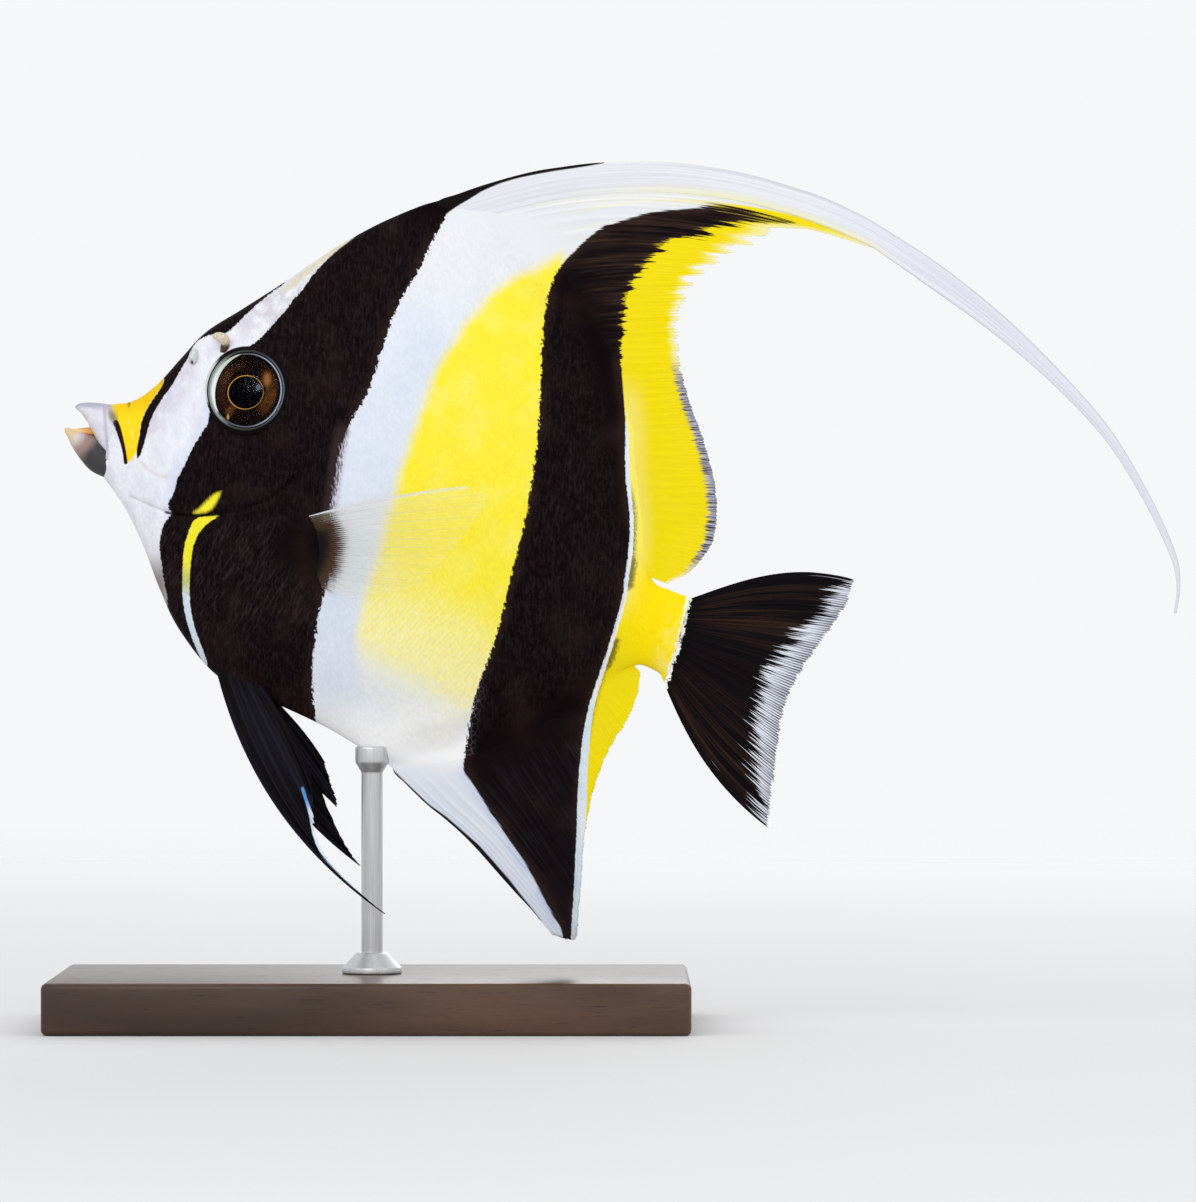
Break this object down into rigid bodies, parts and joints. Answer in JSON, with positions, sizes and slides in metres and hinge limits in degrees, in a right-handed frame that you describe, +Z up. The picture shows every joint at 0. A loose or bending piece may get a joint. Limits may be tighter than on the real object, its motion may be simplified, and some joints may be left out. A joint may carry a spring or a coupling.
{
  "type": "moorish idol",
  "caption": "Life-size model of a disc-shaped reef fish with a sickle dorsal fin and a long trailing streamer, held swimming on a plain display stand.",
  "frame": {"origin": "middle of the stand base's underside, directly below the rod", "axes": "+X from the snout towards the tail, level; +Z up; -Y is the side that the fish's left flank faces; the fish's middle plane is Y = 0"},
  "size_m": [0.2626, 0.084, 0.2015],
  "materials": {
    "skin_black": "fine-scaled velvety black skin",
    "skin_yellow": "fine-scaled skin, yellow and white with black bands",
    "lips": "soft grey-white lips",
    "eyes": "wet gloss",
    "horns": "bare bone",
    "fin_white": "silky fin membrane",
    "fin_yellow": "silky fin membrane",
    "fin_black": "silky fin membrane",
    "fin_clear": "clear fin membrane with a dark base",
    "base_wood": "dark stained, satin",
    "stand_steel": "satin"
  },
  "bodies": {
    "root": {"head": "skin_black", "gill_cover_l": "skin_black", "gill_cover_r": "skin_black", "trunk": "skin_yellow", "tail_stalk": "skin_yellow", "upper_jaw": "lips", "lower_jaw": "lips", "eye_l": "eyes", "eye_r": "eyes", "brow_horn_l": "horns", "brow_horn_r": "horns", "dorsal_fin_front": "fin_white", "dorsal_fin_rear": "fin_yellow", "streamer_1": "fin_white", "streamer_2": "fin_white", "streamer_3": "fin_white", "anal_fin": "fin_black", "tail_fin": "fin_black", "pectoral_fin_l": "fin_clear", "pectoral_fin_r": "fin_clear", "pelvic_fin_l": "fin_black", "pelvic_fin_r": "fin_black", "stand_base": "base_wood", "stand_collar": "stand_steel", "stand_rod": "stand_steel"}
  },
  "joints": []
}
